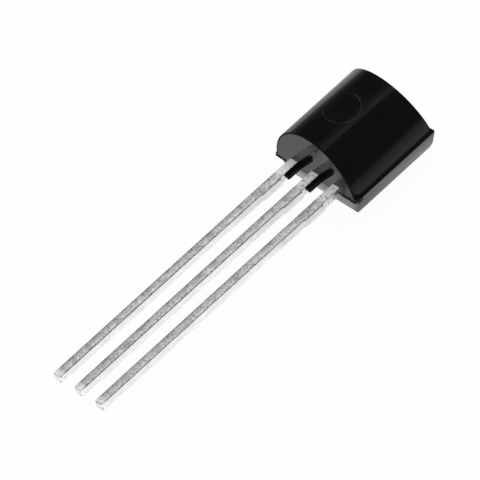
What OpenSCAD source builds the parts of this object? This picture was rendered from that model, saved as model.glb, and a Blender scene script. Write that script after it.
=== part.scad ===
// Three-lead temperature sensor in a small moulded package.
// The package lies on its flat face: X runs across the row of leads, Y along them towards the closed end
// of the body, and Z up through the body. The origin is on the flat face, below the middle of the body.
// The modules draw from the end face that the leads come out of, and each node is moved to the origin last.
// Lengths are millimetres and angles are degrees.

/* [Moulded body] */
// Width across the rim where the two mould halves meet
rim_w = 4.92; // [4.9:0.02:5.3]
// Width of the flat face
flat_w = 4; // [3.6:0.05:4.4]
// Length of the body along the leads
body_l = 4.5; // [4.4:0.05:5.3]
// Depth of the body from the flat face to the crown
body_t = 3.22; // [3.1:0.02:4.1]
// Radius of the rounded back
back_r = 2.36; // [2.2:0.01:2.37]
// Radius of the hollow corner where the rounded back meets the rim
foot_r = 0.06; // [0.03:0.01:0.07]
// Height of the rim above the flat face
rim_z = 1.13; // [1.03:0.01:1.3]
// Lean of the rounded half's end face at the leads, which lets it leave its mould
back_draft = 6.5; // [3:0.5:10]
// Lean of the rounded half's closed end
far_draft = 4; // [2:0.5:8]
// Lean of the end faces of the flat half
flat_draft = 3.5; // [1:0.5:8]
// How far the flat half sits out of line with the rounded half, towards the closed end
mould_shift = 0.08; // [0.01:0.01:0.12]
// How far the rounded half sits out of line with the leads, towards -X
mould_skew = 0.02; // [0:0.01:0.03]
// Bevel along the sides and the lead end of the flat face
flat_bevel = 0.07; // [0.02:0.01:0.12]
// Bevel along the closed end of the flat face
far_bevel = 0.2; // [0.02:0.01:0.3]

/* [Ejector pin mark] */
// Diameter of the round mark on the crown
mark_d = 1.6; // [1.2:0.05:1.9]
// Depth of the mark below the rounded back
mark_depth = 0.03; // [0.02:0.005:0.06]

/* [Moulding remnants] */
// Width of the sliver of flash beside a lead
flash_w = 0.16; // [0.08:0.01:0.2]
// Thickness of the flash, below the top of the lead
flash_t = 0.26; // [0.15:0.01:0.28]
// Length of the flash outside the body
flash_l = 0.7; // [0.3:0.02:0.84]
// Height of the broken gate at the corner of the rim
gate_t = 0.24; // [0.12:0.01:0.26]
// Length of the broken gate along the rim
gate_l = 0.34; // [0.2:0.02:0.5]
// How far the broken gate stands out of the rim
gate_out = 0.05; // [0.02:0.01:0.1]

/* [Leads] */
// Distance between neighbouring leads
lead_pitch = 1.27; // [1.2:0.01:1.35]
// Width of a lead
lead_w = 0.43; // [0.36:0.01:0.5]
// Thickness of the lead frame
lead_t = 0.38; // [0.3:0.01:0.45]
// Length of the leads outside the body
lead_l = 13.55; // [5:0.05:20]
// Height of the underside of the leads above the flat face
lead_z = 0.98; // [0.9:0.01:1.02]
// Radius of the rolled edges of a lead
lead_edge_r = 0.06; // [0.02:0.01:0.12]
// Bevel at the cut end of a lead
tip_bevel = 0.1; // [0.04:0.01:0.15]
// Distance from the body to the stub of the cut tie bar on each lead's +X side
stub_gap = 0.95; // [0.9:0.05:2]
// Length of a tie bar stub along its lead
stub_l = 1.1; // [0.5:0.05:1.5]
// How far a tie bar stub stands out of the side of its lead
stub_out = 0.06; // [0.03:0.01:0.12]

/* [Lead frame inside the body] */
// Distance from the end face to the bond posts
post_gap = 0.75; // [0.6:0.05:0.9]
// Length of a bond post
post_l = 0.9; // [0.7:0.05:1]
// Width of a bond post
post_w = 0.8; // [0.6:0.02:0.9]
// Gap between the bond posts and the paddle
paddle_gap = 0.25; // [0.2:0.05:0.4]
// Width of the paddle outside the die
paddle_margin = 0.5; // [0.35:0.05:0.6]
// Length of the paddle beyond the die, on each side
paddle_end = 0.25; // [0.2:0.05:0.3]
// Diameter of the hole in the paddle that the mould compound grips
lock_d = 0.3; // [0.2:0.02:0.36]
// Radius of the paddle's corners
paddle_r = 0.15; // [0.05:0.05:0.2]

/* [Die and wires] */
// Width of the silicon die, across the leads
die_w = 1.2; // [0.9:0.05:1.3]
// Length of the silicon die, along the leads
die_l = 0.95; // [0.8:0.05:1]
// Thickness of the silicon die
die_t = 0.25; // [0.15:0.01:0.35]
// Thickness of the adhesive under the die
glue_t = 0.03; // [0.02:0.01:0.05]
// How far the adhesive spreads past the die
glue_out = 0.06; // [0.03:0.01:0.1]
// Diameter of a bond wire
wire_d = 0.05; // [0.04:0.005:0.06]
// Diameter of the ball and the stitch at the ends of a bond wire
bond_d = 0.13; // [0.1:0.01:0.16]
// Height of the ball and the stitch
bond_t = 0.05; // [0.045:0.005:0.06]
// Height of a bond wire above its ball
wire_h = 0.35; // [0.25:0.05:0.5]
// Distance from a bond pad's centre to the edges of the die
pad_inset = 0.18; // [0.12:0.02:0.25]

/* [Hidden] */

$fn = 64;
BACK_FN = 180;
// Sides of a bond wire's section, which is too thin to need more
WIRE_SIDES = 8;
// Length by which a cutting shape runs past what it cuts
RUN_OUT = 1;
// How deep the flash and the gate run into the body that they are one with
flash_root = 0.2;
gate_root = 0.1;

rim_x = rim_w / 2;
flat_x = flat_w / 2;
back_z = body_t - back_r;
foot_z = rim_z + foot_r;
foot_rise = max(foot_z - back_z, 0);
foot_x = sqrt(back_r * back_r - foot_rise * foot_rise);
lead_top_z = lead_z + lead_t;
side_slope = (rim_x - flat_x) / rim_z;

post_end_y = post_gap + post_l;
paddle_start_y = post_end_y + paddle_gap;
paddle_w = die_w + 2 * paddle_margin;
die_start_y = paddle_start_y + paddle_end;
lock_y = die_start_y + die_l + paddle_end + lock_d / 2;
paddle_end_y = lock_y + lock_d / 2 + paddle_end;
die_y = die_start_y + die_l / 2;
die_z = lead_top_z + glue_t;
die_top_z = die_z + die_t;
mark_y = (body_l + mould_shift) / 2;

// The round back above the rim, with the hollow corners at its foot.
module back_section() {
    intersection() {
        union() {
            circle(back_r, $fn = BACK_FN);
            translate([-back_r, -back_z]) square([2 * back_r, back_z]);
        }
        translate([-back_r, rim_z - flat_bevel - back_z]) square([2 * back_r, body_t]);
    }
    for (side = [0, 1]) mirror([side, 0]) translate([foot_x, rim_z - back_z]) difference() {
        translate([-foot_r, -flat_bevel]) square([2 * foot_r, foot_r + flat_bevel]);
        translate([foot_r, foot_r]) circle(foot_r);
    }
}

// Section of the body seen along the leads: a trapezium below the rim and a round back above it.
module cross_section() {
    bevel_x = flat_x - flat_bevel;
    bevel_side_x = flat_x + side_slope * flat_bevel;
    polygon([[-bevel_x, 0], [bevel_x, 0], [bevel_side_x, flat_bevel], [rim_x, rim_z],
             [-rim_x, rim_z], [-bevel_side_x, flat_bevel]]);
    translate([-mould_skew, back_z]) back_section();
}

// Section of the body seen from its side, as [y, z]. The rounded half reaches down to the leads' underside
// at the end face, and to the rim at the closed end. Both halves lean so that they leave their moulds.
module side_section() {
    near_lean = tan(back_draft);
    far_lean = tan(far_draft);
    flat_lean = tan(flat_draft);
    near_y = mould_shift + flat_lean * lead_z;
    far_y = body_l + mould_shift - flat_lean * rim_z;
    near_side_y = near_y - flat_lean * flat_bevel;
    far_side_y = far_y + flat_lean * far_bevel;
    polygon([[near_y + flat_bevel, 0], [far_y - far_bevel, 0], [far_side_y, far_bevel],
             [body_l + mould_shift, rim_z], [body_l, rim_z],
             [body_l - far_lean * (body_t - rim_z), body_t],
             [near_lean * (body_t - lead_z), body_t],
             [0, lead_z], [mould_shift, lead_z], [near_side_y, flat_bevel]]);
}

// Both sections swept through the body; what they share is the moulding with all its leaning faces.
module moulding() {
    intersection() {
        translate([0, body_l + RUN_OUT, 0]) rotate([90, 0, 0])
            linear_extrude(body_l + 2 * RUN_OUT) cross_section();
        translate([-rim_x - RUN_OUT, 0, 0]) rotate([90, 0, 90])
            linear_extrude(rim_w + 2 * RUN_OUT) side_section();
    }
}

// The skin that the ejector pin presses in: what lies within its circle and outside a slightly smaller back.
module ejector_mark() {
    difference() {
        translate([-mould_skew, mark_y, back_z]) cylinder(d = mark_d, h = back_r + RUN_OUT);
        translate([-mould_skew, mark_y + mark_d, back_z]) rotate([90, 0, 0])
            cylinder(r = back_r - mark_depth, h = 2 * mark_d, $fn = BACK_FN);
    }
}

// Flash that stayed in the corner between a lead and the tie bar, on the +X side of the lead at x.
module flash(x) {
    round_y = flash_w / 2 - flash_l;
    translate([x + lead_w / 2, round_y, lead_top_z - lead_edge_r - flash_t])
        cube([flash_w, -round_y + flash_root, flash_t]);
    translate([x + lead_w / 2 + flash_w / 2, round_y, lead_top_z - lead_edge_r - flash_t])
        cylinder(d = flash_w, h = flash_t);
}

// Lump left where the mould compound was broken off at the gate, on the rim beside the end face.
module gate_stub() {
    inner_x = back_r - mould_skew - gate_root;
    round_y = gate_l - gate_t / 2;
    translate([inner_x, 0, lead_z]) cube([rim_x + gate_out - inner_x, round_y, gate_t]);
    translate([inner_x, round_y, lead_z + gate_t / 2]) rotate([0, 90, 0])
        cylinder(d = gate_t, h = rim_x + gate_out - inner_x);
}

module rounded_bar_section() {
    inner_w = lead_w - 2 * lead_edge_r;
    inner_t = lead_t - 2 * lead_edge_r;
    square([inner_w, lead_t], center = true);
    square([lead_w, inner_t], center = true);
    for (x = [-inner_w / 2, inner_w / 2], z = [-inner_t / 2, inner_t / 2])
        translate([x, z]) circle(lead_edge_r);
}

// A lead's straight strip from its cut tip to inner_y inside the body, with the stub of the tie bar.
module lead_strip(inner_y) {
    translate([0, 0, lead_z]) {
        intersection() {
            translate([0, inner_y, lead_t / 2]) rotate([90, 0, 0])
                linear_extrude(lead_l + inner_y) rounded_bar_section();
            linear_extrude(lead_t)
                polygon([[lead_w / 2, inner_y], [-lead_w / 2, inner_y], [-lead_w / 2, tip_bevel - lead_l],
                         [tip_bevel - lead_w / 2, -lead_l], [lead_w / 2 - tip_bevel, -lead_l],
                         [lead_w / 2, tip_bevel - lead_l]]);
        }
        translate([0, -stub_gap - stub_l, lead_edge_r])
            cube([lead_w / 2 + stub_out, stub_l, lead_t - 2 * lead_edge_r]);
    }
}

// An outer lead, whose bond post widens away from the middle lead; side is -1 or 1.
module outer_lead(side) {
    translate([side * lead_pitch, 0, 0]) lead_strip(post_end_y);
    translate([side * (lead_pitch - lead_w / 2 + post_w / 2), post_gap + post_l / 2, lead_z + lead_t / 2])
        cube([post_w, post_l, lead_t], center = true);
}

// The middle lead, which widens into the paddle that carries the die.
module middle_lead() {
    lead_strip(paddle_start_y + paddle_r);
    translate([0, 0, lead_z]) linear_extrude(lead_t) difference() {
        union() {
            translate([-paddle_w / 2 + paddle_r, paddle_start_y])
                square([paddle_w - 2 * paddle_r, paddle_end_y - paddle_start_y]);
            translate([-paddle_w / 2, paddle_start_y + paddle_r])
                square([paddle_w, paddle_end_y - paddle_start_y - 2 * paddle_r]);
            for (x = [paddle_r - paddle_w / 2, paddle_w / 2 - paddle_r],
                 y = [paddle_start_y + paddle_r, paddle_end_y - paddle_r])
                translate([x, y]) circle(paddle_r);
        }
        translate([0, lock_y]) circle(d = lock_d);
    }
}

module die_block() {
    translate([-die_w / 2, die_y - die_l / 2, die_z]) cube([die_w, die_l, die_t]);
}

module glue_layer() {
    translate([-die_w / 2 - glue_out, die_y - die_l / 2 - glue_out, lead_top_z])
        cube([die_w + 2 * glue_out, die_l + 2 * glue_out, glue_t]);
}

// A bond wire from a ball on the die at pad to a stitch on the lead frame at foot. The wire is the arc of the
// one circle that passes through both ends and rises by wire_h above the ball.
module bond_wire(pad, foot) {
    reach = norm(foot - pad);
    drop = die_top_z - lead_top_z;
    heading = atan2(foot.y - pad.y, foot.x - pad.x);
    fall = drop / wire_h;
    centre_u = (sqrt(reach * reach + fall * (reach * reach + drop * drop + drop * wire_h)) - reach) / fall;
    centre_w = (wire_h * wire_h - centre_u * centre_u) / (2 * wire_h);
    foot_angle = atan2(-drop - centre_w, reach - centre_u);
    pad_angle = (atan2(-centre_w, -centre_u) + 360) % 360;
    translate([pad.x, pad.y, die_top_z]) {
        cylinder(d = bond_d, h = bond_t);
        rotate([0, 0, heading]) {
            translate([reach, 0, -drop]) cylinder(d = bond_d, h = bond_t);
            translate([centre_u, 0, centre_w + bond_t / 2]) rotate([90, 0, 0]) rotate([0, 0, foot_angle])
                rotate_extrude(angle = pad_angle - foot_angle) translate([wire_h - centre_w, 0])
                    circle(d = wire_d, $fn = WIRE_SIDES);
        }
    }
}

// The ends of each wire: the outer wires end on the posts, the middle one on the paddle beside the die.
pad_x = die_w / 2 - pad_inset;
pad_y = die_y - die_l / 2 + pad_inset;
post_x = lead_pitch - lead_w / 2 + post_w / 2;
post_y = post_gap + post_l / 2;
stitch_x = -(die_w / 2 + glue_out + (paddle_margin - glue_out) / 2);
stitch_y = die_y + die_l / 2 - pad_inset;

module left_wire() { bond_wire([-pad_x, pad_y], [-post_x, post_y]); }
module middle_wire() { bond_wire([0, stitch_y], [stitch_x, stitch_y]); }
module right_wire() { bond_wire([pad_x, pad_y], [post_x, post_y]); }

// Moves what is drawn from the end face to the origin below the middle of the body.
module at_origin() { translate([0, -body_l / 2, 0]) children(); }

module body() {
    color("#17161a") at_origin() difference() {
        union() {
            moulding();
            for (x = [-lead_pitch, 0]) flash(x);
            gate_stub();
        }
        ejector_mark();
        for (side = [-1, 1]) outer_lead(side);
        middle_lead();
        die_block();
        glue_layer();
        left_wire();
        middle_wire();
        right_wire();
    }
}
module lead_left() { color("#c9c9c6") at_origin() outer_lead(-1); }
module lead_middle() { color("#c9c9c6") at_origin() middle_lead(); }
module lead_right() { color("#c9c9c6") at_origin() outer_lead(1); }
module die() { color("#5c6570") at_origin() die_block(); }
module die_adhesive() { color("#b5b1a4") at_origin() glue_layer(); }
module wire_left() { color("#d9b13b") at_origin() left_wire(); }
module wire_middle() { color("#d9b13b") at_origin() middle_wire(); }
module wire_right() { color("#d9b13b") at_origin() right_wire(); }

body();
lead_left();
lead_middle();
lead_right();
die();
die_adhesive();
wire_left();
wire_middle();
wire_right();
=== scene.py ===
# %% [markdown]
# # A three-lead temperature sensor
#
# The part is a small block of black moulding compound, flat on one side and round on the other, with three
# tinned leads that come out of one end. This lesson dresses its measured solids: it loads them, models the
# parts that show again with finer edges, gives every part a finish, and then sets the floor, the lights and
# the camera.

# %% Load the measured solids
import math

import bpy
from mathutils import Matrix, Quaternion, Vector


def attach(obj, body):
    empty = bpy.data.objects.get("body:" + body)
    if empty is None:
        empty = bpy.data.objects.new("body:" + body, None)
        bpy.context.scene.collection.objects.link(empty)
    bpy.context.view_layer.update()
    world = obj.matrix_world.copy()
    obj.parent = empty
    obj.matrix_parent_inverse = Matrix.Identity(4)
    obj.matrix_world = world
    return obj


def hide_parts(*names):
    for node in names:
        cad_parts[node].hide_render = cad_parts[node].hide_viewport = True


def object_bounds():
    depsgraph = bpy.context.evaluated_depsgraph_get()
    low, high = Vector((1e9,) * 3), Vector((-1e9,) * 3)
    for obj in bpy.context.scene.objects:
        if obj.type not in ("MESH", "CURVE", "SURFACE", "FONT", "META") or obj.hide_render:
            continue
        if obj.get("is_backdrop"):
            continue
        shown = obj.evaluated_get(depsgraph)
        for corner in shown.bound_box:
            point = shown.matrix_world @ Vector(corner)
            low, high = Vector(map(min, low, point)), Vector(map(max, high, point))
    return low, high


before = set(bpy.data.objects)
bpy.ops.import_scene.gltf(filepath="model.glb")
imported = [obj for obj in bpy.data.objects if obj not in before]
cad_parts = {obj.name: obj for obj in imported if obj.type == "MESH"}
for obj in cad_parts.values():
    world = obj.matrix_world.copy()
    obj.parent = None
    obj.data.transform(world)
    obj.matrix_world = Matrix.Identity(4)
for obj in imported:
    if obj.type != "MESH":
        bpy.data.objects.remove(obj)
cad_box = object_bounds()
print("solids:", ", ".join(sorted(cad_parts)))

# %% [markdown]
# ## Sizes
#
# The sensor is under 5 mm wide, and many of Blender's tools have limits meant for things of about a metre.
# So each new piece is modelled large, with one unit for a millimetre, and it is shrunk to metres when it is
# finished. These are the sizes of the solids, in millimetres, with the origin on the flat face below the
# middle of the body. Sizes that only one step needs are given there.

# %% Sizes of the body and the leads
MM = 0.001

rim_w = 4.92
flat_w = 4.0
body_l = 4.5
body_t = 3.22
back_r = 2.36
rim_z = 1.13
mould_shift = 0.08
mould_skew = 0.02
lead_pitch = 1.27
lead_w = 0.43
lead_t = 0.38
lead_l = 13.55
lead_z = 0.98
mark_d = 1.6

rim_x = rim_w / 2
flat_x = flat_w / 2
back_z = body_t - back_r
near_y = -body_l / 2
tip_y = near_y - lead_l
lead_top = lead_z + lead_t
print(f"body {rim_w} x {body_l + mould_shift} x {body_t} mm, leads {lead_l} mm long")

# %% [markdown]
# ## The camera
#
# The sensor is seen from its lead end, from above and a little to the right, with the camera tilted so that
# the leads run steeply down to the left. A long lens from 250 mm away keeps the three leads almost
# parallel. The camera could be placed by hand. Here it is placed by its bearing, its height above the
# horizon and its tilt, because those are the numbers that one would note down beside a tripod.

# %% Camera
bearing = math.radians(62.3)
height = math.radians(45.7)
tilt = math.radians(-21.7)
distance = 250 * MM
aim = Vector((-1.63, -5.66, -0.49)) * MM

towards_camera = Vector((math.sin(bearing) * math.cos(height), -math.cos(bearing) * math.cos(height),
                         math.sin(height)))
bpy.ops.object.camera_add(location=aim + distance * towards_camera)
camera = bpy.context.object
camera.name = "camera"
camera.rotation_mode = "QUATERNION"
camera.rotation_quaternion = towards_camera.to_track_quat("Z", "Y") @ Quaternion((0, 0, 1), tilt)
camera.data.lens = 461.3
camera.data.sensor_width = 36
camera.data.clip_start = 10 * MM
camera.data.clip_end = 10
bpy.context.scene.camera = camera
print("camera at", [round(c / MM, 1) for c in camera.location], "mm")

# %% [markdown]
# ## Selecting
#
# A tool in edit mode acts on what is selected, so every step starts with nothing selected and then picks
# its faces or edges. By hand one would click on them. Here a short test picks them by where they are or
# which way they face, which still works when a size changes.


# %% Helpers for selecting
def clear_selection():
    """Leaves edit mode and selects nothing."""
    if bpy.context.object and bpy.context.object.mode != "OBJECT":
        bpy.ops.object.mode_set(mode="OBJECT")
    bpy.ops.object.select_all(action="DESELECT")


def only(obj):
    """Leaves edit mode and selects obj alone."""
    clear_selection()
    obj.select_set(True)
    bpy.context.view_layer.objects.active = obj


def pick(obj, kind, test):
    """Goes into edit mode with just those faces or edges of obj selected that test says yes to."""
    only(obj)
    bpy.ops.object.mode_set(mode="EDIT")
    bpy.ops.mesh.select_mode(type=kind)
    bpy.ops.mesh.select_all(action="DESELECT")
    bpy.ops.object.mode_set(mode="OBJECT")
    parts = obj.data.polygons if kind == "FACE" else obj.data.edges
    for part in parts:
        part.select = bool(test(part))
    bpy.ops.object.mode_set(mode="EDIT")
    return sum(part.select for part in parts)


def ends(obj, edge):
    """The two end points of an edge."""
    return [obj.data.vertices[v].co.copy() for v in edge.vertices]


# %% [markdown]
# ## Drawing a plate
#
# Much of the sensor has a profile that goes straight through: the moulding, the flash and the gate. By hand
# one would extrude a single point from corner to corner, fill the outline and extrude it once more for its
# thickness. This helper does just that, and round stretches of an outline come from a helper for arcs.


# %% Helpers for outlines and plates
def arc(cx, cz, radius, start, stop, steps):
    """Points on an arc, from start to stop in degrees."""
    turns = [math.radians(start + (stop - start) * i / steps) for i in range(steps + 1)]
    return [(cx + radius * math.cos(a), cz + radius * math.sin(a)) for a in turns]


def draw_plate(name, outline, depth, axis, middle=0.0):
    """A plate with that outline, as thick as depth along one axis, with its middle there on that axis."""
    start = middle - depth / 2
    place = {"X": lambda u, v: Vector((start, u, v)),
             "Y": lambda u, v: Vector((u, start, v)),
             "Z": lambda u, v: Vector((u, v, start))}[axis]
    clear_selection()
    bpy.ops.mesh.primitive_plane_add(size=1)
    plate = bpy.context.object
    plate.name = name
    bpy.ops.object.mode_set(mode="EDIT")
    bpy.ops.mesh.select_mode(type="VERT")
    bpy.ops.mesh.select_all(action="SELECT")
    bpy.ops.mesh.merge(type="CENTER")
    bpy.ops.transform.translate(value=place(*outline[0]))
    for last, corner in zip(outline, outline[1:]):
        bpy.ops.mesh.extrude_vertices_move(TRANSFORM_OT_translate={"value": place(*corner) - place(*last)})
    bpy.ops.mesh.select_all(action="SELECT")
    bpy.ops.mesh.edge_face_add()
    along = Vector([depth if letter == axis else 0 for letter in "XYZ"])
    bpy.ops.mesh.extrude_region_move(TRANSFORM_OT_translate={"value": along})
    bpy.ops.mesh.select_all(action="SELECT")
    bpy.ops.mesh.normals_make_consistent(inside=False)
    bpy.ops.object.mode_set(mode="OBJECT")
    return plate


# %% [markdown]
# ## Combining and cleaning
#
# Two solids are combined with a Boolean modifier, and the modifier is applied at once, so that the next
# step works on the plain mesh. A Boolean can leave points that all but coincide, and needless points along
# a straight edge. A bevel over such points folds into slivers, so they are merged and dissolved first.


# %% Helpers for combining and cleaning
def combine(obj, tool, how):
    """Cuts tool from obj, joins it on or keeps what they share, and deletes tool."""
    only(obj)
    cut = obj.modifiers.new("combine", "BOOLEAN")
    cut.operation = how
    cut.object = tool
    cut.solver = "EXACT"
    bpy.ops.object.modifier_apply(modifier=cut.name)
    bpy.data.objects.remove(tool)


def clean_mesh(obj, reach):
    """Merges points that lie within reach of each other, and joins faces that lie in one plane."""
    pick(obj, "FACE", lambda f: True)
    bpy.ops.mesh.remove_doubles(threshold=reach)
    bpy.ops.mesh.dissolve_limited(angle_limit=math.radians(0.1), delimit={"MATERIAL"})
    bpy.ops.object.mode_set(mode="OBJECT")


# %% [markdown]
# ## Edges and finishes
#
# No edge of the real part is perfectly sharp, and a sharp edge in Blender never catches the light. So every
# edge that stands out is bevelled, and the bevel gets a finish of its own, darker and duller than the faces
# beside it: painted shade for the thin dark outline along the edges. A hollow corner is left as it is.


# %% Helpers for edges and finishes
edge_round = 0.035


def sharp_edges(obj, least):
    """The edges that stand out between two faces at more than that angle, in degrees."""
    faces = {}
    for face in obj.data.polygons:
        for key in face.edge_keys:
            faces.setdefault(key, []).append(face)
    return {key for key, pair in faces.items() if len(pair) == 2
            and pair[0].normal.angle(pair[1].normal) > math.radians(least)
            and pair[0].normal.dot(pair[1].center - pair[0].center) < 0}


def round_edges(obj, radius, segments, least=25):
    """Rounds the edges that stand out, and gives the rounding the piece's second finish."""
    sharp = sharp_edges(obj, least)
    count = pick(obj, "EDGE", lambda e: e.key in sharp)
    bpy.ops.mesh.bevel(offset=radius, segments=segments, affect="EDGES", material=1)
    bpy.ops.object.mode_set(mode="OBJECT")
    return count


def dress(obj, *materials):
    """Gives a piece its finishes, the first for its faces and the second for its rounded edges."""
    obj.data.materials.clear()
    for material in materials:
        obj.data.materials.append(material)


def give_finish(obj, index):
    """Gives the faces that are selected in edit mode one of the piece's finishes, counted from 0."""
    obj.active_material_index = index
    bpy.ops.object.material_slot_assign()


# %% [markdown]
# ## Handing a piece over
#
# A finished piece is shrunk to metres, with its place in its mesh and its object at the origin, as the
# measured solids are. Then it rides on the part's one body and stands for its solid, which is hidden.


# %% Helper for finished pieces
def hand_over(obj, node):
    """Shrinks a finished piece to metres, smooths it and lets it stand for its solid."""
    only(obj)
    obj.data.transform(obj.matrix_world)
    obj.matrix_world.identity()
    obj.scale = (MM, MM, MM)
    bpy.ops.object.transform_apply(location=False, rotation=False, scale=True)
    bpy.ops.object.shade_smooth_by_angle(angle=math.radians(30))
    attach(obj, "root")
    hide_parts(node)
    print(f"{obj.name}: {len(obj.data.polygons)} faces")


# %% [markdown]
# ## Working with nodes
#
# A finish is a tree of nodes. In the shader editor one adds a node, types its numbers and drags links to
# it. The helper for adding a node does the same three things in one call, and the others are short names
# for the nodes that come up again and again.


# %% A tree of nodes
class Recipe:
    """A tree of nodes, with short ways to add to it."""

    def __init__(self, tree):
        self.nodes = tree.nodes
        self.link = tree.links.new

    def fill(self, node, sockets):
        """Links sockets of a node, by name or number, or sets them where a number or a colour is given."""
        for place, value in sockets.items():
            if isinstance(value, bpy.types.NodeSocket):
                self.link(value, node.inputs[place])
            else:
                node.inputs[place].default_value = value

    def add(self, kind, sockets, out=0, **settings):
        """Adds a node and returns one of its outputs."""
        node = self.nodes.new("ShaderNode" + kind)
        for name, value in settings.items():
            setattr(node, name, value)
        self.fill(node, sockets)
        return node.outputs[out]

    def ramp(self, value, stops):
        """A colour ramp: each stop is a place from 0 to 1 and a grey or a colour."""
        band = self.nodes.new("ShaderNodeValToRGB")
        marks = band.color_ramp.elements
        while len(marks) < len(stops):
            marks.new(0.5)
        for mark, (place, colour) in zip(marks, stops):
            mark.position = place
            mark.color = (*colour, 1) if isinstance(colour, tuple) else (colour, colour, colour, 1)
        self.link(value, band.inputs["Fac"])
        return band.outputs["Color"]

    def spread(self, value, low, high):
        """Turns low to high into 0 to 1. Low may be the larger of the two."""
        return self.add("MapRange", {"Value": value, "From Min": low, "From Max": high}, "Result")

    def maths(self, kind, first, *others):
        """Arithmetic of one kind on sockets or numbers, taken in turn."""
        for other in others:
            first = self.add("Math", {0: first, 1: other}, operation=kind)
        return first

    def mix(self, kind, one, other, share):
        """Two colours blended by that share, in a mix of that kind."""
        return self.add("Mix", {0: share, 6: one, 7: other}, 2, data_type="RGBA", blend_type=kind)


# %% [markdown]
# A material is such a tree with a shader in it. All of them read Object coordinates, turned into
# millimetres, so that their patterns stay fixed to the piece and their sizes are real ones. Generated
# coordinates would be ready to use, but they stretch with the piece.


# %% A finish
class Finish(Recipe):
    """A material: one shader, and nodes that read the place on the piece in millimetres."""

    def __init__(self, name):
        self.material = bpy.data.materials.new(name)
        self.material.use_nodes = True
        super().__init__(self.material.node_tree)
        self.shader = self.nodes["Principled BSDF"]
        place = self.add("TexCoord", {}, "Object")
        self.where = self.stretched(place, (1 / MM,) * 3)

    def stretched(self, place, scale):
        """Those coordinates times that scale along each axis."""
        return self.add("Mapping", {"Vector": place, "Scale": scale}, "Vector")

    def axes(self):
        """The three coordinates apart."""
        split = self.nodes.new("ShaderNodeSeparateXYZ")
        self.link(self.where, split.inputs[0])
        return list(split.outputs)

    def noise(self, scale, detail=4, rough=0.5, where=None):
        """A noise of so many lumps to the millimetre."""
        place = self.where if where is None else where
        sockets = {"Vector": place, "Scale": scale, "Detail": detail, "Roughness": rough}
        return self.add("TexNoise", sockets, "Fac")

    def bump(self, height, distance, strength):
        """A bump of that height in millimetres."""
        sockets = {"Height": height, "Distance": distance * MM, "Strength": strength}
        return self.add("Bump", sockets, "Normal")

    def shade(self, sockets):
        """Sets the shader's own sockets."""
        self.fill(self.shader, sockets)
        print("material:", self.material.name, "with", len(self.nodes), "nodes")


# %% [markdown]
# ## Moulding compound
#
# The housing is epoxy filled with fine silica, dark as soot and slightly glossy. Nearly all that shows on
# it is a reflection: of the pale floor on the faces that lean down, and of the dark above on the round
# back. So the colour is close to black, with slow clouds where the resin is richer, and the rest of the
# detail is in the gloss: a grain of filler as fine as the mould's skin.

# %% Resin and its grain
compound = Finish("moulding_compound")
x, y, z = compound.axes()
clouds = compound.noise(1.6, 3)
resin = compound.ramp(clouds, [(0.3, (0.0042, 0.004, 0.0053)), (0.7, (0.0056, 0.0053, 0.0068))])
grain = compound.noise(22, 5, 0.6)
compound.shade({
    "Roughness": compound.ramp(grain, [(0.3, 0.07), (0.7, 0.11)]),
    "Normal": compound.bump(grain, 0.0006, 0.3),
    "IOR": 1.5,
})

# %% [markdown]
# ### The painted highlight on the ring
#
# The ejector pin leaves a round mark on the crown. Its rim catches a thin grey highlight in some places and
# not in others. It could be a ring of its own faces, but such a line has no thickness, so it is a painted
# highlight: everything that lies at the mark's radius from the pin's axis, seen from above, and high enough
# to be on the crown. A noise breaks it up.

# %% Painted highlight on the ejector mark's rim
mark_y = mould_shift / 2
# A light grey for the rim of the ejector mark: a painted highlight.
ring_highlight_colour = (0.032, 0.031, 0.035, 1)
ring_r = mark_d / 2 - 0.01
ring_half_w = 0.014
ring_fade = 0.02
crown_low = 2.7

plan = compound.add("VectorMath", {0: compound.where, 1: (1, 1, 0)}, operation="MULTIPLY")
from_pin = compound.add("VectorMath", {0: plan, 1: (-mould_skew, mark_y, 0)}, "Value", operation="DISTANCE")
past_ring = compound.maths("SUBTRACT", from_pin, ring_r)
off_ring = compound.add("Math", {0: past_ring}, operation="ABSOLUTE")
on_ring = compound.spread(off_ring, ring_half_w + ring_fade, ring_half_w)
on_crown = compound.spread(z, crown_low, crown_low + 0.1)
broken = compound.ramp(compound.noise(3, 3), [(0.38, 0.25), (0.55, 1.0)])
painted_ring_highlight = compound.maths("MULTIPLY", on_ring, on_crown, broken)
compound.shade({"Base Color": compound.mix("MIX", resin, ring_highlight_colour, painted_ring_highlight)})

# %% [markdown]
# ### Painted shade in a corner, and a pit
#
# The right corner of the end face has painted shade, and there is a small pit high on its left. Both are
# dull spots that reflect less of the floor. They aren't darker in colour, since the compound is nearly black
# already, so they turn down the strength of the reflection.

# %% Painted corner shade and pit
pit_place = (-0.86, -2.07, 2.54)
pit_r = 0.13
pit_fade = 0.07
pit_depth = 0.45
clean_gloss = 0.5
shade_and_pit_gloss = 0.12

# The right corner of the end face, beside the right lead and above the step, gets painted shade.
beside_lead = compound.spread(x, lead_pitch + 0.08, lead_pitch + 0.33)
on_end = compound.spread(y, near_y + 0.25, near_y + 0.1)
above_step = compound.spread(z, lead_z - 0.03, lead_z + 0.02)
patchy = compound.ramp(compound.noise(2.5, 4), [(0.4, 0.5), (0.55, 1.0)])
painted_corner_shade = compound.maths("MULTIPLY", beside_lead, on_end, above_step, patchy)
from_pit = compound.add("VectorMath", {0: compound.where, 1: pit_place}, "Value", operation="DISTANCE")
ragged = compound.maths("ADD", from_pit, compound.maths("MULTIPLY", grain, 0.15))
pit = compound.maths("MULTIPLY", compound.spread(ragged, pit_r + pit_fade, pit_r), pit_depth)
shade_and_pit = compound.maths("MAXIMUM", painted_corner_shade, pit)
compound.shade({"Specular IOR Level": compound.ramp(shade_and_pit, [(0.0, clean_gloss), (1.0, shade_and_pit_gloss)])})
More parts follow.
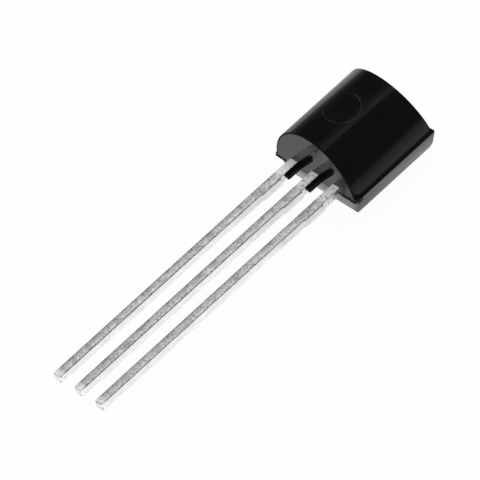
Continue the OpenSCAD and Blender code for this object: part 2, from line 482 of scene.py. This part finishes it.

# %% [markdown]
# ### Painted dark edges
#
# The rounded edges have a finish of their own, darker than the resin and rough, which reflects hardly
# anything: painted shade for the thin dark line along each edge of the moulding.

# %% Painted shade on the edges of the moulding
shaded_edge_compound = Finish("moulding_compound_painted_edge_shade")
grain = shaded_edge_compound.noise(30, 5, 0.6)
shaded_edge_compound.shade({
    "Base Color": shaded_edge_compound.ramp(grain, [(0.3, (0.0022, 0.0021, 0.0028)),
                                             (0.7, (0.0044, 0.0042, 0.0054))]),
    "Roughness": shaded_edge_compound.ramp(grain, [(0.3, 0.55), (0.7, 0.7)]),
    "Specular IOR Level": 0.2,
})

# %% [markdown]
# ## Tin
#
# The leads are plated with dull tin over copper. The plating is a patchwork of crystals, with long faint
# lines from the drawing of the strip and blotches where it was handled. So the grey is mottled at three
# sizes, and one of them is stretched along the lead. Each lead is also painted a little darker towards its
# left edge, as shade. The stretch beside the body and the last part of the tips were never touched: they are
# clean and bright, with a few dark ticks, and beside the body that brightness is also painted light against
# the body's shade.
#
# One recipe serves three finishes. The broad faces are dull and worn, the rolled edges are painted dark as
# shade, and the sides, where the strip was sheared from its sheet, are bright bare metal.


# %% Tin plating
def plating(name, tones, roughness, metallic, blotches_and_shade):
    """Tin plating with that ramp of tones, and that share of its blotches and of the painted shade on its
    left.
    """
    tin = Finish(name)
    x, y = tin.axes()[:2]
    patches = tin.ramp(tin.noise(9, 6, 0.75), tones)
    drawn = tin.stretched(tin.where, (1, 0.12, 1))
    lines = tin.ramp(tin.noise(16, 3, 0.6, drawn), [(0.35, 0.72), (0.65, 1)])
    blotches = tin.ramp(tin.noise(2.2, 3, 0.6), [(0.38, 0.72), (0.52, 1)])
    mottled = tin.mix("MULTIPLY", tin.mix("MULTIPLY", patches, lines, 0.6), blotches, blotches_and_shade)

    # Painted shade: each lead is darker towards its left edge.
    pitches = tin.maths("DIVIDE", tin.maths("ADD", x, 5.5 * lead_pitch), lead_pitch)
    across_lead = tin.add("Math", {0: pitches}, operation="FRACT")
    shade = tin.ramp(across_lead, [(0.33, 0.42), (0.4, 0.7), (0.5, 0.88), (0.6, 1.0)])
    mottled = tin.mix("MULTIPLY", mottled, shade, blotches_and_shade)

    # Beside the body and at the tips the tin is clean and bright with dark ticks; beside the body the
    # brightness is partly painted light, making up for the shade of the body.
    short = tin.stretched(tin.where, (1.5, 4, 1))
    ticked = tin.ramp(tin.noise(3, 4, 0.6, short), [(0.36, 0.35), (0.46, 0.97)])
    untouched_and_lit = tin.maths("MAXIMUM", tin.spread(y, near_y - 1.05, near_y - 0.75),
                          tin.spread(y, tip_y + 0.4, tip_y + 0.15))
    scuffs = tin.noise(12, 6, 0.7)
    tin.shade({
        "Base Color": tin.mix("MIX", mottled, ticked, untouched_and_lit),
        "Roughness": tin.ramp(scuffs, [(0.3, roughness), (0.7, roughness + 0.2)]),
        "Normal": tin.bump(scuffs, 0.02, 0.4),
        "Metallic": metallic,
    })
    return tin.material


dull_tin = plating("dull_tin",
                   [(0.35, (0.35, 0.35, 0.34)), (0.5, (0.75, 0.75, 0.735)), (0.65, (1.0, 1.0, 0.98))],
                   roughness=0.3, metallic=0.2, blotches_and_shade=1.0)
# The rolled edges get dark tones: painted shade for the thin dark outline along each lead.
shaded_tin_edge = plating("tin_edge_painted_shade", [(0.35, (0.1, 0.1, 0.095)), (0.55, (0.5, 0.5, 0.49))],
                   roughness=0.45, metallic=0.5, blotches_and_shade=0.5)
sheared_tin = plating("sheared_tin", [(0.3, (0.8, 0.8, 0.79)), (0.5, (0.99, 0.99, 0.98))],
                      roughness=0.15, metallic=1.0, blotches_and_shade=0.1)

# %% [markdown]
# ## The moulding
#
# The housing comes from a mould of two halves. The rounded half and the flat half lean towards their own
# sides, so that the part can leave the mould, and they don't line up exactly. The shape could be carved
# from one block, but it is easier to draw it twice: once as the section seen along the leads and once as
# the section seen from the side. What the two plates share is the moulding, with every leaning face in its
# place.

# %% Section seen along the leads
foot_r = 0.06
flat_bevel = 0.07

foot_z = rim_z + foot_r
foot_turn = math.degrees(math.asin((foot_z - back_z) / back_r))
crown = arc(-mould_skew, back_z, back_r, foot_turn, 180 - foot_turn, 120)
foot_right = arc(crown[0][0] + foot_r, foot_z, foot_r, 270, 180, 6)[:-1]
foot_left = arc(crown[-1][0] - foot_r, foot_z, foot_r, 0, -90, 6)[1:]
bevel_x = flat_x + (rim_x - flat_x) / rim_z * flat_bevel
end_section = ([(flat_bevel - flat_x, 0), (flat_x - flat_bevel, 0), (bevel_x, flat_bevel), (rim_x, rim_z)]
               + foot_right + crown + foot_left + [(-rim_x, rim_z), (-bevel_x, flat_bevel)])
print(len(end_section), "corners in the end section")

# %% Side section, with the step where the halves don't line up
near_lean = math.tan(math.radians(6.5))
far_lean = math.tan(math.radians(4))
flat_lean = math.tan(math.radians(3.5))
far_bevel = 0.2

top = body_t + 0.5
far_y = near_y + body_l
flat_near = near_y + mould_shift + flat_lean * lead_z
flat_far = far_y + mould_shift - flat_lean * rim_z
side_section = [
    (flat_near + flat_bevel, 0),
    (flat_far - far_bevel, 0),
    (flat_far + flat_lean * far_bevel, far_bevel),
    (far_y + mould_shift, rim_z),
    (far_y, rim_z),
    (far_y - far_lean * (top - rim_z), top),
    (near_y + near_lean * (top - lead_z), top),
    (near_y, lead_z),
    (near_y + mould_shift, lead_z),
    (flat_near - flat_lean * flat_bevel, flat_bevel),
]
print(len(side_section), "corners in the side section")

# %% What the two plates share
run_out = 2

moulding = draw_plate("moulded_body", end_section, body_l + run_out, "Y")
side = draw_plate("side", side_section, rim_w + run_out, "X")
dress(moulding, compound.material, shaded_edge_compound.material)
dress(side, compound.material, shaded_edge_compound.material)
combine(moulding, side, "INTERSECT")
clean_mesh(moulding, 0.004)
print("moulding:", [round(s, 3) for s in moulding.dimensions], "mm")

# %% [markdown]
# ### Rounded edges and painted dark borders
#
# The mould's corners are sharp but not perfectly so, so they are rounded by a few hundredths of a
# millimetre, and the rounding gets the dark edge finish: painted shade for the thin dark line that each edge
# shows. The bevels round the flat face get that finish as well. The end faces and the side walls also have a
# painted dark border along their edges. It could be painted with a mask, but an inset follows the edges by
# itself. At the upright corners the walls meet without that line, so the faces there get the glossy finish
# back.

# %% Round the edges
rounded = round_edges(moulding, edge_round, 3)
clean_mesh(moulding, 0.002)
bevels = pick(moulding, "FACE", lambda f: -0.98 < f.normal.z < -0.45 and f.center.z < far_bevel)
give_finish(moulding, 1)
print(rounded, "edges rounded,", bevels, "faces of the bevels dulled")

# %% Painted dark borders of the end faces and the side walls
border_w = 0.04
corner_low, corner_high = 0.12, 0.93


def is_wall(face):
    """Whether a face is one of the two end faces at the leads or of the flat half's side walls."""
    return face.area > 1 and (face.normal.y < -0.9 or abs(face.normal.x) > 0.9 and face.center.z < rim_z)


walls = pick(moulding, "FACE", is_wall)
# The inset border takes the dark edge finish: a painted dark line along the edges of the walls.
bpy.ops.mesh.inset(thickness=border_w, use_select_inset=True)
give_finish(moulding, 1)
corners = pick(moulding, "FACE", lambda f: f.material_index == 1 and corner_low < f.center.z < corner_high)
give_finish(moulding, 0)
bpy.ops.object.mode_set(mode="OBJECT")
print(walls, "walls with a dull border,", corners, "faces at the corners glossy again")

# %% [markdown]
# ## Flash
#
# Compound that crept out between the mould halves stays behind as flash: a sliver in the corner between a
# lead and the tie bar, which is why it has a round outer end. The one beside the middle lead has broken off
# a little askew. They could be separate pieces laid against the body, but they are one with it, so each is
# drawn as an outline, thickened, rounded and joined to the body.

# %% Slivers of flash beside the leads
flash_w = 0.16
flash_t = 0.26
flash_l = 0.7
flash_root = 0.2
flash_clearance = 0.001
lead_edge_r = 0.06

flash_mid_z = lead_top - lead_edge_r - flash_t / 2
for lead_x, askew in ((-lead_pitch, 0.0), (0, 0.05)):
    left = lead_x + lead_w / 2 + flash_clearance
    right = left + flash_w
    round_y = near_y - flash_l + flash_w / 2
    outline = [(right, near_y + flash_root), (left, near_y + flash_root), (left, round_y + askew)]
    outline += arc(left + flash_w / 2, round_y, flash_w / 2, 200, 340, 10)
    outline += [(right, round_y + 2 * askew)]
    sliver = draw_plate("flash", outline, flash_t, "Z", flash_mid_z)
    # The flash takes the dark edge finish all over: painted shade that keeps it black.
    dress(sliver, shaded_edge_compound.material, shaded_edge_compound.material)
    round_edges(sliver, 0.03, 3, 50)
    combine(moulding, sliver, "UNION")
print("moulding with slivers:", len(moulding.data.polygons), "faces")

# %% [markdown]
# A thread of flash also runs along the line where the halves met, at either side of the end face. It is
# thin and uneven, so it is drawn as a few listed points above and below that line.

# %% Threads of flash along the parting line
thread_t = 0.07
thread_proud = 0.023

right_thread = [(1.48, 0.97), (1.7, 0.93), (1.95, 0.96), (2.15, 0.92), (2.36, 0.95), (2.4, 1.03), (2.2, 1.0),
                (1.95, 1.03), (1.72, 1.0), (1.56, 1.06)]
left_thread = [(-2.44, 0.99), (-2.2, 0.96), (-1.95, 0.98), (-1.7, 0.95), (-1.5, 0.97), (-1.5, 1.02),
               (-1.8, 1.01), (-2.1, 1.03), (-2.42, 1.05)]
for outline in (right_thread, left_thread):
    thread = draw_plate("thread", outline, thread_t, "Y", near_y - thread_proud + thread_t / 2)
    # The threads take the dark edge finish: painted shade for the dark line along the parting line.
    dress(thread, shaded_edge_compound.material, shaded_edge_compound.material)
    combine(moulding, thread, "UNION")
print("moulding with flash:", len(moulding.data.polygons), "faces")

# %% [markdown]
# ## Gate
#
# The compound ran into the mould at the right end of the rim, and the lump there is where it was broken
# off. Its outline is drawn from the side and rounded like the flash. Its end and its underside lie one or
# two hundredths of a millimetre away from the faces of the body, because a Boolean is unreliable where two
# faces share one plane.

# %% Gate
gate_t = 0.24
gate_l = 0.34
gate_out = 0.05
gate_in = foot_r + 0.2
gate_inset = 0.018
gate_lift = 0.015

round_y = near_y + gate_l - gate_t / 2
outline = [(near_y + gate_inset, lead_z + gate_lift), (round_y, lead_z + gate_lift)]
outline += arc(round_y, lead_z + gate_t / 2, gate_t / 2, -80, 90, 9)
outline += [(near_y + 0.12, lead_z + gate_t), (near_y + gate_inset + 0.03, lead_z + gate_t * 0.8)]
gate = draw_plate("gate", outline, gate_in + gate_out, "X", rim_x + (gate_out - gate_in) / 2)
dress(gate, compound.material, shaded_edge_compound.material)
round_edges(gate, 0.02, 2, 50)
combine(moulding, gate, "UNION")
clean_mesh(moulding, 0.002)
print("moulding with gate:", len(moulding.data.polygons), "faces")

# %% [markdown]
# ## Ejector mark
#
# A pin pushes the part out of the mould and presses a shallow round mark into the crown. The mark follows
# the curve of the back, so it is cut with a skin: the part of a round bar that lies outside a slightly
# smaller back.

# %% Ejector mark
mark_depth = 0.03

clear_selection()
bpy.ops.mesh.primitive_cylinder_add(vertices=96, radius=mark_d / 2, depth=2,
                                    location=(-mould_skew, mark_y, back_z + back_r))
mark = bpy.context.object
bpy.ops.mesh.primitive_cylinder_add(vertices=240, radius=back_r - mark_depth, depth=3,
                                    location=(-mould_skew, mark_y, back_z), rotation=(math.pi / 2, 0, 0))
skin = bpy.context.object
dress(mark, compound.material, shaded_edge_compound.material)
dress(skin, compound.material, shaded_edge_compound.material)
combine(mark, skin, "DIFFERENCE")
combine(moulding, mark, "DIFFERENCE")
clean_mesh(moulding, 0.002)
hand_over(moulding, "body")

# %% [markdown]
# ## The leads
#
# Each lead is a straight strip, stamped from a sheet. It could be drawn as an outline too, but it is nearly
# a plain bar, so it starts as a cube of the lead's size. Cuts across it mark where the tie bar was and
# where the inner end widens, and the side faces between those cuts are extruded.


# %% Helpers for the leads
def lead_strip(name, x, inner_l):
    """A straight lead from its cut tip to inner_l inside the body."""
    clear_selection()
    bpy.ops.mesh.primitive_cube_add(size=1)
    lead = bpy.context.object
    lead.name = name
    lead.scale = (lead_w, lead_l + inner_l, lead_t)
    lead.location = (x, near_y + (inner_l - lead_l) / 2, lead_z + lead_t / 2)
    bpy.ops.object.transform_apply(location=True, rotation=False, scale=True)
    dress(lead, dull_tin, shaded_tin_edge, sheared_tin)
    return lead


def cut_across(lead, y):
    """Adds a ring of edges across the lead, y from the end face of the body."""
    pick(lead, "FACE", lambda f: True)
    bpy.ops.mesh.bisect(plane_co=(0, near_y + y, 0), plane_no=(0, 1, 0))
    bpy.ops.object.mode_set(mode="OBJECT")


def widen(lead, start, stop, side, amount):
    """Pushes out the side faces between two cuts; side is -1 for the left face and 1 for the right one."""
    pick(lead, "FACE", lambda f: f.normal.x * side > 0.9 and start < f.center.y - near_y < stop)
    bpy.ops.mesh.extrude_region_move(TRANSFORM_OT_translate={"value": (side * amount, 0, 0)})
    bpy.ops.object.mode_set(mode="OBJECT")


# %% Outer leads
stub_gap = 0.95
stub_l = 1.1
stub_out = 0.06
post_gap = 0.75
post_l = 0.9
post_w = 0.8
post_end = post_gap + post_l

leads = []
for side, name in ((-1, "lead_left"), (1, "lead_right")):
    lead = lead_strip(name + "_tinned", side * lead_pitch, post_end)
    for y in (-stub_gap - stub_l, -stub_gap, post_gap):
        cut_across(lead, y)
    widen(lead, -stub_gap - stub_l, -stub_gap, 1, stub_out)
    widen(lead, post_gap, post_end, side, post_w - lead_w)
    leads.append((lead, name))
    print(lead.name, "with its bond post")

# %% [markdown]
# The middle lead widens on both sides, into the paddle that carries the die.

# %% Middle lead
paddle_gap = 0.25
paddle_w = 2.2
paddle_end = 3.9
paddle_start = post_end + paddle_gap

lead = lead_strip("lead_middle_tinned", 0, paddle_end)
for y in (-stub_gap - stub_l, -stub_gap, paddle_start):
    cut_across(lead, y)
widen(lead, -stub_gap - stub_l, -stub_gap, 1, stub_out)
for side in (-1, 1):
    widen(lead, paddle_start, paddle_end, side, (paddle_w - lead_w) / 2)
leads.append((lead, "lead_middle"))
print(lead.name, "with its paddle")

# %% [markdown]
# ### Tips, rolled edges and sheared sides
#
# The shear that cut the leads to length left the corners of their tips blunt, and the edges of the strip
# are rolled. The tips are bevelled first, so that the rolled edges run round them. Then the sides of the
# strip and the end faces of the stubs get the finish of sheared metal.

# %% Tips and rolled edges
tip_bevel = 0.1


def is_tip_corner(lead, edge):
    """Whether an edge is one of the upright corners at the cut end."""
    one, other = ends(lead, edge)
    return max(one.y, other.y) < tip_y + 0.01 and abs(one.z - other.z) > 0.1


def was_sheared(face):
    """Whether the die cut a face: the sides of the strip and the ends of the stubs, but not the tip."""
    side_face = abs(face.normal.x) > 0.75 or abs(face.normal.x) > 0.6 and abs(face.normal.z) < 0.3
    stub_face = abs(face.normal.y) > 0.9 and face.center.y > tip_y + 1
    return side_face or stub_face


for lead, name in leads:
    pick(lead, "EDGE", lambda e: is_tip_corner(lead, e))
    bpy.ops.mesh.bevel(offset=tip_bevel, segments=2, affect="EDGES")
    bpy.ops.object.mode_set(mode="OBJECT")
    # The rolled edges take the dark edge tin, which paints shade along them.
    rolled = round_edges(lead, edge_round, 3, 30)
    sheared = pick(lead, "FACE", was_sheared)
    give_finish(lead, 2)
    bpy.ops.object.mode_set(mode="OBJECT")
    print(name, rolled, "edges rolled,", sheared, "faces sheared")
    hand_over(lead, name)

# %% [markdown]
# ## Inside the body
#
# The die, its adhesive and the bond wires keep their measured solids. The compound hides them, but each
# still gets the finish of its material, so that the part can be cut open: silicon is a dark mirror with
# faint cells, the adhesive is full of silver flakes, and the wires are gold with the fine grain of drawn
# metal.


# %% Finishes of the inner pieces
def inner_finish(name, lumps, tones, roughness, metallic=0.0):
    """A finish whose tone and roughness follow one noise, of so many lumps to the millimetre and detail."""
    inner = Finish(name)
    pattern = inner.noise(*lumps)
    inner.shade({"Base Color": inner.ramp(pattern, tones), "Roughness": inner.ramp(pattern, roughness),
                 "Metallic": metallic})
    return inner.material


silicon = inner_finish("silicon", (14, 3), [(0.35, (0.08, 0.1, 0.13)), (0.65, (0.13, 0.15, 0.19))],
                       [(0.3, 0.12), (0.7, 0.22)], 0.4)
adhesive = inner_finish("silver_adhesive", (40, 4), [(0.35, (0.36, 0.345, 0.3)), (0.65, (0.54, 0.52, 0.46))],
                        [(0.3, 0.5), (0.7, 0.7)])
gold = inner_finish("bond_wire_gold", (30, 3), [(0.3, (0.78, 0.55, 0.16)), (0.7, (0.9, 0.68, 0.24))],
                    [(0.3, 0.18), (0.7, 0.3)], 1.0)

for name, material in (("die", silicon), ("die_adhesive", adhesive), ("wire_left", gold),
                       ("wire_middle", gold), ("wire_right", gold)):
    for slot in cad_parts[name].material_slots:
        slot.material = material
    print(name, "->", material.name)

# %% [markdown]
# ## Floor
#
# The floor is a white sheet. To the camera it is almost evenly white, and a little of it is real diffuse
# white that takes the shadow. What the gloss of the sensor sees of it is a painted glow that isn't even: the
# sheet is brightest close to the lead end, and it falls off to the sides, most of all on the right, a
# painted pool of light as under a small lamp. One evenly lit sheet would be simpler, but then every face of
# the moulding would have the same tone.

# %% Floor
floor_gap = 0.01 * MM

clear_selection()
bpy.ops.mesh.primitive_plane_add(size=4, location=(0, 0, -floor_gap))
floor = bpy.context.object
floor.name = "floor"
floor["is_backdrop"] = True

paper = Finish("white_floor")
paper.shade({"Base Color": (0.9, 0.9, 0.9, 1), "Roughness": 0.9, "Specular IOR Level": 0})
dress(floor, paper.material)

# %% [markdown]
# Beside the sensor the reflected sheet changes from left to right. In front of its end face it changes only
# along the leads, so that the end face has one tone across its width.

# %% The sheet as the gloss sees it
x, y = paper.axes()[:2]
sheet_left, sheet_right = -6, 20
# Painted light: how bright the sheet looks to reflections, from left to right.
across = paper.ramp(paper.spread(x, sheet_left, sheet_right),
                    [(0.0, 0.62), (0.08, 0.64), (0.14, 0.95), (0.29, 0.95), (0.3, 0.6), (0.34, 0.57),
                     (0.42, 0.44), (0.58, 0.35), (0.86, 0.25), (1.0, 0.2)])
along = paper.ramp(paper.spread(y, -6, -4.8), [(0.0, 1.0), (1.0, 0.82)])
in_front = paper.spread(y, near_y + 0.05, near_y - 0.2)
reflected = paper.add("Emission", {"Color": paper.mix("MIX", across, along, in_front)})
print("reflected sheet from", sheet_left, "to", sheet_right, "mm")

# %% [markdown]
# Which of the two a ray meets is asked of the Light Path node: a glossy ray sees the uneven sheet, and a
# ray from the camera sees plain white with one twentieth of the lit paper in it, which is what carries the
# shadow.

# %% Choose by the kind of ray
lit_share = 0.05


def seen_directly(recipe):
    """1 for a ray from the camera, also through clear things, and 0 for any other."""
    path = recipe.nodes.new("ShaderNodeLightPath")
    return recipe.maths("MAXIMUM", path.outputs["Is Camera Ray"], path.outputs["Is Transmission Ray"])


white = paper.add("Emission", {"Color": (1, 1, 1, 1)})
white_share = paper.maths("MULTIPLY", seen_directly(paper), 1 - lit_share)
seen_sheet = paper.add("MixShader", {0: white_share, 1: paper.shader.outputs[0], 2: white})
is_glossy = paper.add("LightPath", {}, "Is Glossy Ray")
surface = paper.add("MixShader", {0: is_glossy, 1: seen_sheet, 2: reflected})
paper.link(surface, paper.nodes["Material Output"].inputs["Surface"])
print("floor finish:", len(paper.nodes), "nodes")

# %% [markdown]
# Behind the edge of the floor the world is white as well. To the camera it has a strength of 1, which is
# pure white, and it lights the sensor with a little over half of that, so that the tin isn't washed out.

# %% World
world = bpy.data.worlds.new("studio")
bpy.context.scene.world = world
world.use_nodes = True
studio = Recipe(world.node_tree)
strength = studio.add("MapRange", {"Value": seen_directly(studio), "To Min": 0.6, "To Max": 1.0}, "Result")
studio.fill(studio.nodes["Background"], {"Color": (1, 1, 1, 1), "Strength": strength})
print("world:", world.name)

# %% [markdown]
# ## What the gloss sees
#
# A near-black glossy block is lit by what it reflects. Above it hangs a dark cloth, so that the back stays
# black. A narrow strip overhead draws the line along the crown, and a low white card at the left gives the
# left side its edge. Only reflections see them, so they change nothing else.


# %% Helpers for the cloth and the cards
def only_reflected(obj):
    """Makes obj a stage piece that only reflections see, and returns its glow, which has no colour yet."""
    obj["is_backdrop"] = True
    for ray in ("camera", "diffuse", "shadow", "transmission"):
        setattr(obj, "visible_" + ray, False)
    glow = Finish(obj.name)
    glow.nodes.remove(glow.shader)
    glow.shader = glow.nodes.new("ShaderNodeEmission")
    glow.link(glow.shader.outputs[0], glow.nodes["Material Output"].inputs["Surface"])
    dress(obj, glow.material)
    return glow


def hang_card(name, width, length, location, turn, stops):
    """A card of that size in millimetres, turned about Y, that glows by those stops from side to side."""
    clear_selection()
    bpy.ops.mesh.primitive_plane_add(size=1, location=Vector(location) * MM, rotation=(0, turn, 0))
    card = bpy.context.object
    card.name = name
    card.scale = (width * MM, length * MM, 1)
    bpy.ops.object.transform_apply(location=False, rotation=False, scale=True)
    glow = only_reflected(card)
    from_side = glow.spread(glow.axes()[0], -width / 2, width / 2)
    glow.shade({"Color": glow.ramp(from_side, stops)})


# %% Cloth and cards
clear_selection()
bpy.ops.mesh.primitive_uv_sphere_add(segments=64, ring_count=32, radius=200 * MM)
cloth = bpy.context.object
cloth.name = "dark_cloth"
pick(cloth, "FACE", lambda f: f.center.z < 0)
bpy.ops.mesh.delete(type="FACE")
bpy.ops.object.mode_set(mode="OBJECT")
only_reflected(cloth).shade({"Color": (0.02, 0.02, 0.02, 1)})

hang_card("overhead_strip", 56, 260, (-10, 0, 150), 0,
          [(0.0, 0.05), (0.45, 0.12), (0.7, 0.27), (1.0, 0.2)])
hang_card("low_card", 80, 300, (-150, 50, 40), math.pi / 2,
          [(0.0, 0.02), (0.35, 0.05), (0.8, 0.17), (1.0, 0.3)])

# %% [markdown]
# ## Lamps
#
# Two soft lamps light the tin and draw a faint shadow. They are hidden from reflections, so that the gloss
# shows only the floor, the cloth and the cards.


# %% Lamps
lamp_distance = 180 * MM
lamp_size = 120 * MM


def soft_box(name, direction, power):
    """A square soft lamp that shines at the sensor."""
    bpy.ops.object.light_add(type="AREA", location=Vector(direction).normalized() * lamp_distance)
    lamp = bpy.context.object
    lamp.name = name
    lamp.data.shape = "SQUARE"
    lamp.data.size = lamp_size
    lamp.data.energy = power
    lamp.rotation_mode = "QUATERNION"
    lamp.rotation_quaternion = Vector(direction).to_track_quat("Z", "Y")
    lamp.visible_glossy = False
    lamp.visible_camera = False
    print(name, power, "W")


soft_box("lamp_left", (-0.6, 0.5, 0.8), 0.12)
soft_box("lamp_right", (0.8, -0.4, 0.7), 0.1)

# %% [markdown]
# The Standard view shows white as white, where Blender's usual view would turn it grey.

# %% Colour
bpy.context.scene.view_settings.view_transform = "Standard"
print("view transform:", bpy.context.scene.view_settings.view_transform)

# %% [markdown]
# ## Print the boxes
#
# Both boxes are printed before the scene is finished: that of the measured solids and that of the dressed
# sensor, so that they can be compared. The dressed sensor has to stay within the box of the measured
# solids.

# %% Print the boxes and finish
dressed_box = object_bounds()
for box_name, box in (("solids", cad_box), ("dressed", dressed_box)):
    print(box_name, [[round(c / MM, 3) for c in corner] for corner in box])
